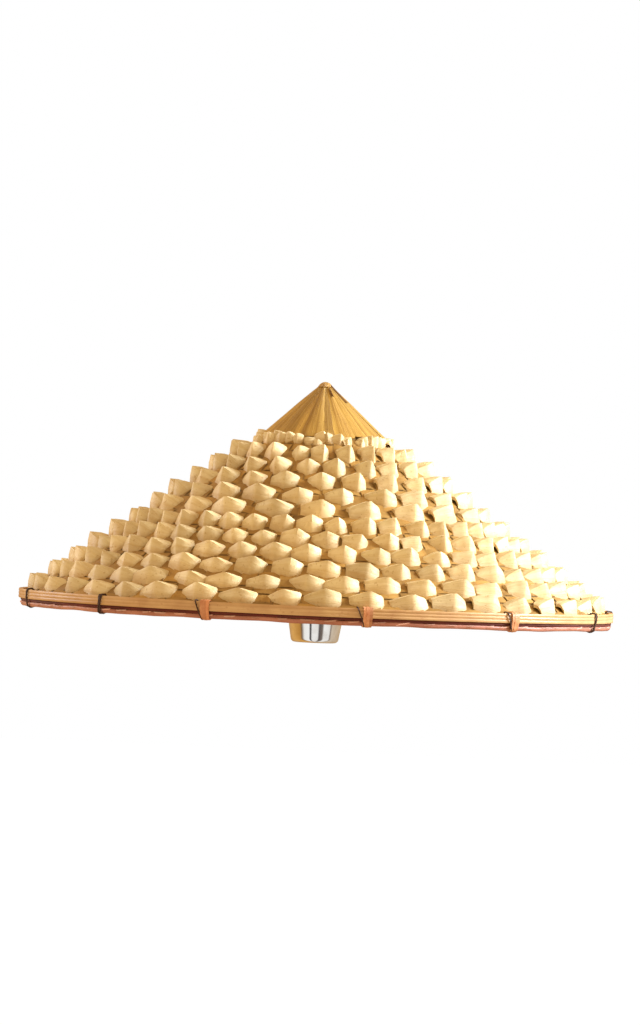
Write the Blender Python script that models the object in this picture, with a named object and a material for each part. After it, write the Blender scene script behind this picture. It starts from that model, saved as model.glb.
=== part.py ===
"""Conical woven bamboo lamp shade on a turned metal carrier.

Run with: blender --background --python part.py

Units are metres and +Z is up. The origin is the centre of the carrier's flat base, which stands
on the lamp's stem. The shade is a cone of woven splints on a bamboo frame, closed by a leaf cap.
Its rim is bound with cane. Three arms tie the rim to a hub ring, which rests on the carrier's
shoulder and is held down by a threaded ring.
"""

import math

import bmesh
import bpy
from mathutils import Matrix

# Driving dimensions of the shade.
RIM_RADIUS = 0.240  # outside of the rim's outer band
RIM_BASE = 0.0205  # underside of the rim above the carrier's base
CONE_PEAK = RIM_BASE + 0.178  # where the woven cone's face would meet the axis
CONE_FALL = 0.713  # fall of the cone for each metre of radius
TIP_HEIGHT = RIM_BASE + 0.190  # top of the leaf cap
GAP = 0.0004  # clearance left between touching pieces
SIDES = 48  # flats round every woven or bent ring
MERGE_DISTANCE = 0.000001
SMOOTH_ANGLE = math.radians(35)

# Shell of the cone, all thicknesses measured straight down.
WEAVE_THICKNESS = 0.0026
LINING_THICKNESS = 0.0010
RIB_THICKNESS = 0.0030
HOOP_THICKNESS = 0.0022
LINING_DEPTH = WEAVE_THICKNESS + GAP
RIB_DEPTH = LINING_DEPTH + LINING_THICKNESS + GAP
HOOP_DEPTH = RIB_DEPTH + RIB_THICKNESS + GAP
SHELL_EYE = 0.006  # radius of the small eye where the splints gather at the top
COLLAR_RADIUS = RIM_RADIUS - 0.0038
COLLAR_WALL = 0.0031
COLLAR_BASE = RIM_BASE + 0.005
LINING_RADIUS = 0.229

# Rows of curled splints.
ROW_COUNT = 11
ROW_PITCH = 0.01575
LAST_ROW_RADIUS = 0.231
CURL_RISE = 0.011  # height of a curl's lip above the cone straight below it

# Leaf cap.
CAP_RADIUS = 0.0572
CAP_LIP = 0.0006
CAP_INNER_RADIUS = 0.0479
CAP_CORE = 0.0032  # thickness at the tip
TIP_RADIUS = 0.0032
TIP_ROUND = 0.0014

# Frame of splints under the lining.
RIB_COUNT = 12
RIB_WIDTH = 0.005
RIB_FIRST_ANGLE = math.radians(22.5)
RIB_TOP_RADIUS = 0.020
RIB_FOOT_RADIUS = 0.2288
HOOP_RADII = (0.026, 0.075, 0.128, 0.181)
HOOP_WIDTH = 0.005

# Rim.
OUTER_BAND_WALL = 0.0034
OUTER_BAND_BASE = RIM_BASE + 0.0060
OUTER_BAND_TOP = RIM_BASE + 0.0136
INNER_BAND_INNER = 0.2295
INNER_BAND_OUTER = 0.2327
INNER_BAND_BASE = RIM_BASE + 0.0010
INNER_BAND_TOP = RIM_BASE + 0.0086
CANE_RADIUS = 0.002
CANE_RING_RADIUS = 0.236
CANE_SIDES = 8
TIE_THICKNESS = 0.0009
TIE_HOOK = 0.0018  # how far a tie's inner end reaches over the inner band
CANE_TIE_WIDTH = 0.0075
THREAD_TIE_WIDTH = 0.0026
# Angle round the rim from +X, and width, of each hand-made tie.
TIES = (
    (6.0, CANE_TIE_WIDTH),
    (36.0, THREAD_TIE_WIDTH),
    (66.0, CANE_TIE_WIDTH),
    (100.0, CANE_TIE_WIDTH),
    (132.0, THREAD_TIE_WIDTH),
    (164.0, CANE_TIE_WIDTH),
    (196.4, THREAD_TIE_WIDTH),
    (225.2, THREAD_TIE_WIDTH),
    (249.0, CANE_TIE_WIDTH),
    (279.7, CANE_TIE_WIDTH),
    (310.5, CANE_TIE_WIDTH),
    (337.5, THREAD_TIE_WIDTH),
)

# Carrier, a cup turned from metal with a threaded neck.
CUP_BASE_RADIUS = 0.0194
CUP_SHOULDER_RADIUS = 0.0214
CUP_CORNER = 0.0035
SHOULDER_HEIGHT = 0.016
SHOULDER_EDGE = 0.0006
NECK_RADIUS = 0.018
NECK_TOP = 0.030
NECK_CHAMFER = 0.0008
BORE_RADIUS = 0.0165
FLOOR_THICKNESS = 0.002
STEM_HOLE_RADIUS = 0.0051
METAL_GAP = 0.0003
FIT_GAP = 0.0004  # round the neck

STEM_WASHER_RADIUS = 0.010
STEM_WASHER_THICKNESS = 0.0012
STEM_NUT_FLATS = 0.014
STEM_NUT_HEIGHT = 0.003
NUT_SIDES = 24

SLIP_WASHER_RADIUS = 0.021
SLIP_WASHER_THICKNESS = 0.001
SLIP_WASHER_BASE = SHOULDER_HEIGHT + METAL_GAP
HUB_RADIUS = 0.029
HUB_THICKNESS = 0.0025
HUB_BASE = SLIP_WASHER_BASE + SLIP_WASHER_THICKNESS + METAL_GAP
HUB_TOP = HUB_BASE + HUB_THICKNESS

RING_RADIUS = 0.023
RING_HEIGHT = 0.005
RING_FLUTE = 0.0005
RING_SIDES = 72
RING_BASE = HUB_TOP + METAL_GAP

# Arms from the hub ring to the rim.
ARM_ANGLES = (90.0, 210.0, 330.0)
ARM_WIDTH = 0.008
ARM_THICKNESS = 0.0016
ARM_START = 0.0242
ARM_END = 0.2288
ARM_BASE = HUB_TOP + METAL_GAP
ARM_RISE = 0.0016
TAB_TOP = RIM_BASE + 0.0084
TACK_HEIGHT = RIM_BASE + 0.0060
TACK_HOLE_RADIUS = 0.0014
TACK_HOLE_END = 0.2319
TACK_SHANK_RADIUS = 0.0011
TACK_SHANK_END = 0.2315
TACK_HEAD_RADIUS = 0.0024
TACK_HEAD_THICKNESS = 0.0012
TACK_SIDES = 16

# Colour, roughness and metallic value of each finish.
PALE_SPLINT = ((0.78, 0.60, 0.37), 0.55, 0.0)
GOLD_LEAF = ((0.62, 0.38, 0.12), 0.50, 0.0)
DRY_LEAF = ((0.52, 0.38, 0.20), 0.70, 0.0)
BAMBOO = ((0.60, 0.36, 0.17), 0.45, 0.0)
RED_CANE = ((0.52, 0.22, 0.13), 0.50, 0.0)
DARK_THREAD = ((0.05, 0.03, 0.02), 0.60, 0.0)
CHROME = ((0.75, 0.74, 0.72), 0.08, 1.0)
STEEL = ((0.55, 0.55, 0.54), 0.30, 1.0)
BRASS = ((0.72, 0.52, 0.22), 0.28, 1.0)


def clear_scene():
    """Remove every object from the scene."""
    for item in list(bpy.data.objects):
        bpy.data.objects.remove(item, do_unlink=True)


def axis_empty(name):
    """Make an empty on the shade's axis, which the pieces of one moving group hang from."""
    empty = bpy.data.objects.new(name, None)
    bpy.context.collection.objects.link(empty)
    return empty


def finish_object(name, shape, finish, parent, place):
    """Turn a bmesh into a named object with its own material."""
    bmesh.ops.remove_doubles(shape, verts=shape.verts, dist=MERGE_DISTANCE)
    bmesh.ops.recalc_face_normals(shape, faces=shape.faces)
    mesh = bpy.data.meshes.new(name)
    shape.to_mesh(mesh)
    shape.free()
    mesh.shade_smooth()
    mesh.set_sharp_from_angle(angle=SMOOTH_ANGLE)

    colour, roughness, metallic = finish
    material = bpy.data.materials.new(name)
    material.use_nodes = True
    shader = material.node_tree.nodes["Principled BSDF"]
    shader.inputs["Base Color"].default_value = (*colour, 1.0)
    shader.inputs["Roughness"].default_value = roughness
    shader.inputs["Metallic"].default_value = metallic
    mesh.materials.append(material)

    item = bpy.data.objects.new(name, mesh)
    item.parent = parent
    item.matrix_basis = place
    bpy.context.collection.objects.link(item)
    return item


def turned(name, outline, finish, parent, sides=SIDES, closed=True, place=Matrix()):
    """Spin an outline of (radius, height) points into a solid.

    A closed outline makes a ring. An open one starts and ends on the axis.
    """
    shape = bmesh.new()
    verts = [shape.verts.new((radius, 0, height)) for radius, height in outline]
    ends = verts[1:] + verts[:1] if closed else verts[1:]
    edges = [shape.edges.new(pair) for pair in zip(verts, ends)]
    bmesh.ops.spin(
        shape,
        geom=verts + edges,
        cent=(0, 0, 0),
        axis=(0, 0, 1),
        angle=math.tau,
        steps=sides,
        use_merge=True,
    )
    return finish_object(name, shape, finish, parent, place)


def extruded(name, outline, width, finish, parent, angle):
    """Extrude an upright outline of (radius, height) points sideways, at an angle round Z."""
    shape = bmesh.new()
    verts = [shape.verts.new((radius, -width / 2, height)) for radius, height in outline]
    face = shape.faces.new(verts)
    moved = bmesh.ops.extrude_face_region(shape, geom=[face])["geom"]
    far_side = [item for item in moved if isinstance(item, bmesh.types.BMVert)]
    bmesh.ops.translate(shape, verts=far_side, vec=(0, width, 0))
    return finish_object(name, shape, finish, parent, Matrix.Rotation(angle, 4, "Z"))


def rectangle(inner, outer, base, top):
    """Outline of a flat-sided ring."""
    return [(inner, base), (outer, base), (outer, top), (inner, top)]


def arc(centre, radius, start, end, steps):
    """Points on an arc, with its angles in degrees from the outward direction."""
    points = []
    for step in range(steps + 1):
        angle = math.radians(start + (end - start) * step / steps)
        points.append((centre[0] + radius * math.cos(angle), centre[1] + radius * math.sin(angle)))
    return points


def thickened(path, thickness):
    """Closed outline of a strip whose one face follows the path, with its wall to the right."""
    far_face = []
    for index, (x, y) in enumerate(path):
        before = path[max(index - 1, 0)]
        after = path[min(index + 1, len(path) - 1)]
        into = direction(before, (x, y)) or direction((x, y), after)
        out = direction((x, y), after) or into
        normal = (into[1] + out[1], -into[0] - out[0])
        scale = thickness * 2 / (normal[0] ** 2 + normal[1] ** 2)
        far_face.append((x + normal[0] * scale, y + normal[1] * scale))
    return path + far_face[::-1]


def direction(start, end):
    """Unit vector between two points, or None where they are the same point."""
    length = math.dist(start, end)
    if length == 0:
        return None
    return ((end[0] - start[0]) / length, (end[1] - start[1]) / length)


def cone_height(radius, depth=0.0):
    """Height of the woven cone's face at a radius, or of a surface that far below it."""
    return CONE_PEAK - CONE_FALL * radius - depth


def build_carrier(parent):
    """The cup with its shoulder and neck, and the nut and washer that hold it on the stem."""
    corner = (CUP_BASE_RADIUS - CUP_CORNER, CUP_CORNER)
    outline = [(STEM_HOLE_RADIUS, 0)]
    outline += arc(corner, CUP_CORNER, -90, 0, 5)
    outline += [
        (CUP_SHOULDER_RADIUS, SHOULDER_HEIGHT - SHOULDER_EDGE),
        (CUP_SHOULDER_RADIUS - SHOULDER_EDGE, SHOULDER_HEIGHT),
        (NECK_RADIUS, SHOULDER_HEIGHT),
        (NECK_RADIUS, NECK_TOP - NECK_CHAMFER),
        (NECK_RADIUS - NECK_CHAMFER, NECK_TOP),
        (BORE_RADIUS, NECK_TOP),
        (BORE_RADIUS, FLOOR_THICKNESS),
        (STEM_HOLE_RADIUS, FLOOR_THICKNESS),
    ]
    turned("carrier_cup", outline, CHROME, parent)

    washer_base = FLOOR_THICKNESS + METAL_GAP
    washer_top = washer_base + STEM_WASHER_THICKNESS
    washer = rectangle(STEM_HOLE_RADIUS, STEM_WASHER_RADIUS, washer_base, washer_top)
    turned("stem_washer", washer, STEEL, parent, NUT_SIDES)

    nut_base = washer_top + METAL_GAP
    round_nut = rectangle(STEM_HOLE_RADIUS, STEM_NUT_FLATS / 2, nut_base, nut_base + STEM_NUT_HEIGHT)
    nut = turned("stem_nut", round_nut, BRASS, parent, NUT_SIDES)
    wall_middle = (STEM_HOLE_RADIUS + STEM_NUT_FLATS / 2) / 2
    for vertex in nut.data.vertices:
        if vertex.co.xy.length > wall_middle:
            from_flat = math.atan2(vertex.co.y, vertex.co.x) % (math.pi / 3) - math.pi / 6
            vertex.co.xy /= math.cos(from_flat)


def build_shade_ring(parent):
    """The fluted ring that screws down the neck onto the hub."""
    outline = rectangle(NECK_RADIUS + FIT_GAP, RING_RADIUS, RING_BASE, RING_BASE + RING_HEIGHT)
    ring = turned("retaining_ring", outline, CHROME, parent, RING_SIDES)
    for vertex in ring.data.vertices:
        step = round(math.atan2(vertex.co.y, vertex.co.x) / math.tau * RING_SIDES)
        if vertex.co.xy.length > RING_RADIUS - RING_FLUTE and step % 2:
            vertex.co.xy *= 1 - RING_FLUTE / RING_RADIUS


def build_hub(parent):
    """The hub ring and its three arms, each with a tack through its end tab."""
    hub = rectangle(NECK_RADIUS + FIT_GAP, HUB_RADIUS, HUB_BASE, HUB_TOP)
    turned("hub_ring", hub, STEEL, parent)
    arm_path = [
        (ARM_START, ARM_BASE),
        (ARM_END, ARM_BASE + ARM_RISE),
        (ARM_END, TAB_TOP),
    ]
    arm = thickened(arm_path[::-1], ARM_THICKNESS)
    holes = []
    for number, degrees in enumerate(ARM_ANGLES, 1):
        angle = math.radians(degrees)
        strip = extruded(f"arm_{number}", arm, ARM_WIDTH, STEEL, parent, angle)
        hole = build_tack(number, angle, parent)
        cut(strip, hole)
        holes.append(hole)
    return holes


def build_tack(number, angle, parent):
    """One tack, lying along its arm with its head inwards, and the cutter of its hole."""
    tab_face = ARM_END - ARM_THICKNESS
    lying = Matrix.Rotation(angle, 4, "Z") @ Matrix.Translation((tab_face, 0, TACK_HEIGHT))
    lying = lying @ Matrix.Rotation(-math.pi / 2, 4, "Y")
    shank_end = tab_face - TACK_SHANK_END
    outline = [
        (0, shank_end),
        (TACK_SHANK_RADIUS, shank_end),
        (TACK_SHANK_RADIUS, METAL_GAP),
        (TACK_HEAD_RADIUS, METAL_GAP),
        (TACK_HEAD_RADIUS * 0.7, METAL_GAP + TACK_HEAD_THICKNESS * 0.75),
        (0, METAL_GAP + TACK_HEAD_THICKNESS),
    ]
    name = f"arm_tack_{number}"
    turned(name, outline, BRASS, parent, TACK_SIDES, closed=False, place=lying)

    hole_end = tab_face - TACK_HOLE_END
    bore = [
        (0, hole_end),
        (TACK_HOLE_RADIUS, hole_end),
        (TACK_HOLE_RADIUS, ARM_THICKNESS),
        (0, ARM_THICKNESS),
    ]
    hole = turned(
        f"tack_hole_{number}", bore, BRASS, parent, TACK_SIDES, closed=False, place=lying
    )
    hole.hide_render = True
    hole.display_type = "WIRE"
    return hole


def cut(item, cutter):
    """Take a cutter's shape out of a piece."""
    boolean = item.modifiers.new("hole", "BOOLEAN")
    boolean.operation = "DIFFERENCE"
    boolean.object = cutter


def build_rim(parent, tack_holes):
    """The outer and inner bands, the cane under them, and the ties round all three."""
    outer_inner = RIM_RADIUS - OUTER_BAND_WALL
    outer = rectangle(outer_inner, RIM_RADIUS, OUTER_BAND_BASE, OUTER_BAND_TOP)
    turned("rim_outer_band", outer, BAMBOO, parent)

    inner = rectangle(INNER_BAND_INNER, INNER_BAND_OUTER, INNER_BAND_BASE, INNER_BAND_TOP)
    inner_band = turned("rim_inner_band", inner, BAMBOO, parent)
    for hole in tack_holes:
        cut(inner_band, hole)

    cane_centre = (CANE_RING_RADIUS, RIM_BASE + CANE_RADIUS)
    cane = arc(cane_centre, CANE_RADIUS, 0, 360, CANE_SIDES)[:-1]
    turned("rim_lower_cane", cane, RED_CANE, parent)

    tie = thickened(tie_path(outer_inner, cane_centre), TIE_THICKNESS)
    for number, (degrees, width) in enumerate(TIES, 1):
        finish = RED_CANE if width == CANE_TIE_WIDTH else DARK_THREAD
        extruded(f"rim_tie_{number:02d}", tie, width, finish, parent, math.radians(degrees))


def tie_path(outer_inner, cane_centre):
    """Inner face of a tie, from the inner band's top, under the cane, to the outer band's top."""
    inner_face = INNER_BAND_INNER - 2 * GAP
    under_cane = arc(cane_centre, CANE_RADIUS + GAP, -105, -15, 3)
    return [
        (INNER_BAND_INNER + TIE_HOOK, INNER_BAND_TOP + GAP),
        (inner_face, INNER_BAND_TOP + GAP),
        (inner_face, INNER_BAND_BASE - GAP),
        *under_cane,
        (RIM_RADIUS + GAP, OUTER_BAND_BASE - GAP),
        (RIM_RADIUS + GAP, OUTER_BAND_TOP + GAP),
        (outer_inner + GAP, OUTER_BAND_TOP + GAP),
    ]


def build_shell(parent):
    """The woven cone with its upright collar, and the leaf lining under it."""
    collar_inner = COLLAR_RADIUS - COLLAR_WALL
    weave = [
        (COLLAR_RADIUS, COLLAR_BASE),
        (COLLAR_RADIUS, cone_height(COLLAR_RADIUS)),
        (SHELL_EYE, cone_height(SHELL_EYE)),
        (SHELL_EYE, cone_height(SHELL_EYE, WEAVE_THICKNESS)),
        (collar_inner, cone_height(collar_inner, WEAVE_THICKNESS)),
        (collar_inner, COLLAR_BASE),
    ]
    turned("base_weave", weave, PALE_SPLINT, parent)
    lining = sloping(SHELL_EYE, LINING_RADIUS, LINING_DEPTH, LINING_THICKNESS)
    turned("leaf_lining", lining, DRY_LEAF, parent)


def sloping(inner, outer, depth, thickness):
    """Outline of a layer that lies parallel to the cone, that far below its face."""
    return [
        (inner, cone_height(inner, depth + thickness)),
        (outer, cone_height(outer, depth + thickness)),
        (outer, cone_height(outer, depth)),
        (inner, cone_height(inner, depth)),
    ]


def build_curl_rows(parent):
    """One ring for each row of curls, with an upright face and a level lip."""
    for row in range(1, ROW_COUNT + 1):
        lip_radius = LAST_ROW_RADIUS - (ROW_COUNT - row) * ROW_PITCH
        lip_height = cone_height(lip_radius) + CURL_RISE
        root_radius = (CONE_PEAK + GAP - lip_height) / CONE_FALL
        outline = [
            (lip_radius, cone_height(lip_radius) + GAP),
            (lip_radius, lip_height),
            (root_radius, lip_height),
        ]
        turned(f"curl_row_{row:02d}", outline, PALE_SPLINT, parent)


def build_cap(parent):
    """The cap of gathered leaf strips that closes the top."""
    foot = cone_height(CAP_RADIUS) + GAP
    outline = [
        (0, TIP_HEIGHT - CAP_CORE),
        (CAP_INNER_RADIUS, cone_height(CAP_INNER_RADIUS) + GAP),
        (CAP_RADIUS, foot),
        (CAP_RADIUS, foot + CAP_LIP),
        (TIP_RADIUS, TIP_HEIGHT - TIP_ROUND),
        (TIP_RADIUS / 2, TIP_HEIGHT - TIP_ROUND / 5),
        (0, TIP_HEIGHT),
    ]
    turned("tip_cap", outline, GOLD_LEAF, parent, closed=False)


def build_frame(parent):
    """The straight ribs and the hoops inside them."""
    rib = sloping(RIB_TOP_RADIUS, RIB_FOOT_RADIUS, RIB_DEPTH, RIB_THICKNESS)
    for number in range(1, RIB_COUNT + 1):
        angle = RIB_FIRST_ANGLE + (number - 1) * math.tau / RIB_COUNT
        extruded(f"rib_{number:02d}", rib, RIB_WIDTH, BAMBOO, parent, angle)
    for number, radius in enumerate(HOOP_RADII, 1):
        half = HOOP_WIDTH / 2
        hoop = sloping(radius - half, radius + half, HOOP_DEPTH, HOOP_THICKNESS)
        turned(f"hoop_{number}", hoop, BAMBOO, parent)


def build_slip_washer(parent):
    """The thin washer that lets the hub turn on the shoulder."""
    top = SLIP_WASHER_BASE + SLIP_WASHER_THICKNESS
    outline = rectangle(NECK_RADIUS + FIT_GAP, SLIP_WASHER_RADIUS, SLIP_WASHER_BASE, top)
    turned("slip_washer", outline, BRASS, parent)


def main():
    """Build the whole shade."""
    clear_scene()
    build_carrier(axis_empty("carrier_axis"))
    build_slip_washer(axis_empty("washer_axis"))
    shade = axis_empty("shade_axis")
    tack_holes = build_hub(shade)
    build_rim(shade, tack_holes)
    build_shell(shade)
    build_curl_rows(shade)
    build_cap(shade)
    build_frame(shade)
    build_shade_ring(axis_empty("ring_axis"))


main()
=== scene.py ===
"""Looks of a woven bamboo lamp shade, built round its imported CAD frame."""

import logging
import math
import random
from collections.abc import Iterator
from contextlib import contextmanager
from dataclasses import dataclass
from enum import Enum

import bmesh
import bpy
from mathutils import Matrix, Vector


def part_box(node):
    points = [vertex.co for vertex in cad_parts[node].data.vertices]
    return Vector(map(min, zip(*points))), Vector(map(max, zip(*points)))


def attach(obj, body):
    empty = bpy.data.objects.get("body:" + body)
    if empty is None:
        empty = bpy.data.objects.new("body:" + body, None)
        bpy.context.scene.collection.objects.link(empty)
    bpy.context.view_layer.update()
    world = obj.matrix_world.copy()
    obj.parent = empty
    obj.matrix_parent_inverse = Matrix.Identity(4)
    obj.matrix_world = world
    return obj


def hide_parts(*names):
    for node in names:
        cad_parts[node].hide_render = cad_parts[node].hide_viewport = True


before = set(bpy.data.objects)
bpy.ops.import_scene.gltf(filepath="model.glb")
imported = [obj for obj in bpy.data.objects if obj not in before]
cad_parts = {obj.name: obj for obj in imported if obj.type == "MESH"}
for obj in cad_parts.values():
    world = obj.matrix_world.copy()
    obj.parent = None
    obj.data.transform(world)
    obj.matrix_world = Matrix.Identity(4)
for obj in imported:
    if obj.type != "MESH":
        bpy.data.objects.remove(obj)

LOG = logging.getLogger("shade")
Colour = tuple[float, float, float]
Spot = tuple[float, float]  # radius and height
Piece = bpy.types.Object
Socket = bpy.types.NodeSocket
Tree = bpy.types.NodeTree
SHADE = "shade"
CARRIER = "carrier"
FRONT = -math.pi / 2  # angle from +X of the side that faces the camera
GRAIN_SHIFTS = 50  # grain numbers are drawn from 0 to this

# Sharpest edges, in degrees, that are still shaded smooth.
METAL_EDGES = 32
CURLED_EDGES = 36
TURNED_EDGES = 40
PLEATED_EDGES = 50
ROUNDED_EDGES = 60


class Flow(Enum):
    """Which way a finish's fibres run over a piece."""

    SPLINT = "along the piece's own UV map"
    ROUND = "round the shade"
    SLOPE = "up and down the shade"


# ---------------------------------------------------------------- handling


def clear_selection() -> None:
    """Deselect every object."""
    bpy.ops.object.select_all(action="DESELECT")


def take(piece: Piece) -> None:
    """Make one object the only selected and active one."""
    clear_selection()
    piece.select_set(True)
    bpy.context.view_layer.objects.active = piece


@contextmanager
def editing(piece: Piece, everything: bool = False) -> Iterator[bmesh.types.BMesh]:
    """Open a piece in edit mode.

    Args:
        piece: The mesh object to edit.
        everything: Whether all of it starts selected, not nothing.

    Yields:
        The mesh in edit mode, for selecting.
    """
    take(piece)
    bpy.ops.object.mode_set(mode="EDIT")
    bpy.ops.mesh.select_all(action="SELECT" if everything else "DESELECT")
    mesh = bmesh.from_edit_mesh(piece.data)
    mesh.verts.ensure_lookup_table()
    yield mesh
    bpy.ops.object.mode_set(mode="OBJECT")


def place_points(piece: Piece, places: list[Vector]) -> None:
    """Move every point of a primitive to its own place.

    Args:
        piece: The mesh object, at the origin.
        places: One place for each point, in the mesh's order.
    """
    with editing(piece) as mesh:
        bpy.ops.mesh.select_mode(type="VERT")
        for point, place in zip(list(mesh.verts), places):
            point.select_set(True)
            bpy.ops.transform.translate(value=place - point.co)
            point.select_set(False)


def grid(name: str, across: int, up: int, places: list[Vector]) -> Piece:
    """Shape a sheet of quads.

    Args:
        name: Name of the new piece.
        across: Quads from left to right.
        up: Quads from bottom to top.
        places: Places of the points, row by row from the bottom left.

    Returns:
        The new piece.
    """
    clear_selection()
    bpy.ops.mesh.primitive_grid_add(x_subdivisions=across, y_subdivisions=up, size=1)
    piece = bpy.context.object
    piece.name = piece.data.name = name
    place_points(piece, places)
    return piece


def outlined(name: str, places: list[Vector]) -> Piece:
    """Join points into a closed line.

    Args:
        name: Name of the new piece.
        places: The points, in order.

    Returns:
        The new piece.
    """
    clear_selection()
    bpy.ops.mesh.primitive_circle_add(vertices=len(places), radius=1)
    piece = bpy.context.object
    piece.name = piece.data.name = name
    place_points(piece, places)
    return piece


def turned(name: str, outline: list[Spot], steps: int) -> Piece:
    """Turn a closed outline round the shade's axis.

    Args:
        name: Name of the new piece.
        outline: Its corners, anticlockwise from outside.
        steps: Facets round the ring.

    Returns:
        The new ring.
    """
    ring = outlined(name, [Vector((radius, 0, height)) for radius, height in outline])
    with editing(ring, everything=True):
        bpy.ops.mesh.spin(steps=steps, angle=math.tau, center=(0, 0, 0), axis=(0, 0, 1))
        bpy.ops.mesh.select_all(action="SELECT")
        bpy.ops.mesh.remove_doubles(threshold=0.00002)
        bpy.ops.mesh.normals_make_consistent(inside=False)
    return ring


def oval(middle: Spot, wide: float, tall: float, corners: int) -> list[Spot]:
    """Outline an oval by its middle, its two half sizes and its number of corners."""
    turns = [step * math.tau / corners for step in range(corners)]
    return [(middle[0] + wide * math.cos(turn), middle[1] + tall * math.sin(turn)) for turn in turns]


def copied(piece: Piece, placed: Matrix) -> Piece:
    """Copy a piece with its own mesh.

    Args:
        piece: The piece to copy.
        placed: Where the copy goes.

    Returns:
        The copy.
    """
    twin = piece.copy()
    twin.data = piece.data.copy()
    bpy.context.collection.objects.link(twin)
    twin.matrix_world = placed
    return twin


def joined(name: str, parts: list[Piece]) -> Piece:
    """Join pieces into one that sits at the origin.

    Args:
        name: Name of the joined piece.
        parts: The pieces, which are used up.

    Returns:
        The joined piece.
    """
    clear_selection()
    for part in parts:
        part.select_set(True)
    bpy.context.view_layer.objects.active = parts[0]
    if len(parts) > 1:
        bpy.ops.object.join()
    bpy.ops.object.transform_apply(location=True, rotation=True, scale=True)
    whole = bpy.context.object
    whole.name = whole.data.name = name
    return whole


def scrap(*pieces: Piece) -> None:
    """Remove patterns that have been copied."""
    for piece in pieces:
        bpy.data.objects.remove(piece, do_unlink=True)


def thicken(piece: Piece, thickness: float, offset: int = -1) -> None:
    """Give a sheet its thickness.

    Args:
        piece: The sheet.
        thickness: How thick it becomes.
        offset: -1 to grow below the sheet, 1 to grow above it.
    """
    take(piece)
    modifier = piece.modifiers.new("Solidify", "SOLIDIFY")
    modifier.thickness = thickness
    modifier.offset = offset
    bpy.ops.object.modifier_apply(modifier=modifier.name)


def turn_grain(piece: Piece) -> None:
    """Swap a piece's UV axes, so that its grain runs the other way."""
    for loop in piece.data.uv_layers[0].data:
        loop.uv = (loop.uv.y, loop.uv.x)


def mark_tone(piece: Piece, tone: float, grain: float) -> None:
    """Give a piece its own shade of colour and its own run of grain.

    Args:
        piece: The mesh object.
        tone: From 0, darkest, to 1, palest.
        grain: Any number, which shifts the grain.
    """
    for label, value in (("tone", tone), ("grain", grain)):
        layer = piece.data.attributes.new(label, "FLOAT", "FACE")
        layer.data.foreach_set("value", [value] * len(piece.data.polygons))


def turned_to(angle: float) -> Matrix:
    """Rotation about the shade's axis that takes the front to an angle from +X."""
    return Matrix.Rotation(angle - FRONT, 4, "Z")


def leant(chance: random.Random, lean: float, twist: float) -> Matrix:
    """Lean and twist at random, by degrees that are usual rather than greatest."""
    leaning = Matrix.Rotation(chance.gauss(0, math.radians(lean)), 4, "Y")
    return leaning @ Matrix.Rotation(chance.gauss(0, math.radians(twist)), 4, "Z")


def dressed(
    piece: Piece, degrees: float, finish: "Finish", slot: str, *nodes: str, body: str = SHADE
) -> None:
    """Smooth a finished piece, give it its material and its body, and hide the nodes it stands for.

    Args:
        piece: The finished mesh object, at the origin.
        degrees: Edges sharper than this stay crisp.
        finish: The finish it gets.
        slot: The record's material slot; not used.
        nodes: The CAD nodes it replaces.
        body: The CAD body it moves with.
    """
    take(piece)
    bpy.ops.object.shade_smooth_by_angle(angle=math.radians(degrees))
    piece.data.materials.clear()
    piece.data.materials.append(finish.material())
    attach(piece, body)
    if nodes:
        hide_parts(*nodes)
    LOG.info("%s: %d faces", piece.name, len(piece.data.polygons))


# ---------------------------------------------------------------- shading


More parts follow.
